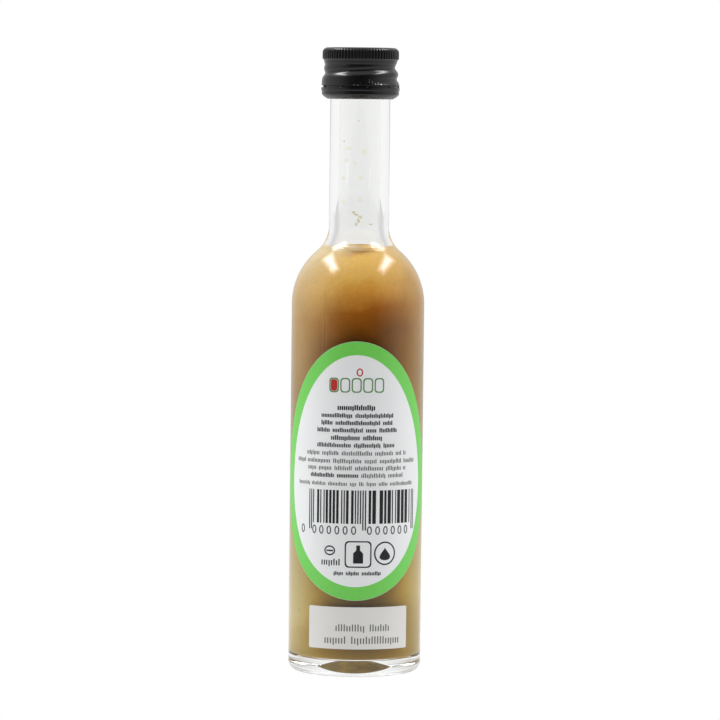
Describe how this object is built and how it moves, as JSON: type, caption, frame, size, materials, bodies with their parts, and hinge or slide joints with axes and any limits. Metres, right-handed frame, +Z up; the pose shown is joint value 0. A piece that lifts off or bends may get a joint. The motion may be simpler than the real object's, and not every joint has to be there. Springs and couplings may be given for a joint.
{
  "type": "hot sauce bottle",
  "caption": "Slim clear glass bottle of hot sauce with a long neck, a black screw cap with tamper band, egg-shaped labels and a lot sticker.",
  "frame": {"origin": "centre of the base, on the plane that the bottle stands on", "axes": "+Z up along the bottle's axis; the back label faces -Y and the front label faces +Y"},
  "size_m": [0.0314, 0.032, 0.146],
  "materials": {
    "clear_glass": "smooth clear soda-lime glass",
    "chilli_sauce": "cloudy amber liquid",
    "black_lacquer": "gloss black lacquer on thin aluminium",
    "label_paper": "coated white label paper"
  },
  "bodies": {
    "root": {"glass": "clear_glass", "sauce": "chilli_sauce", "cap": "black_lacquer", "back_label": "label_paper", "front_label": "label_paper", "lot_label": "label_paper"}
  },
  "joints": []
}
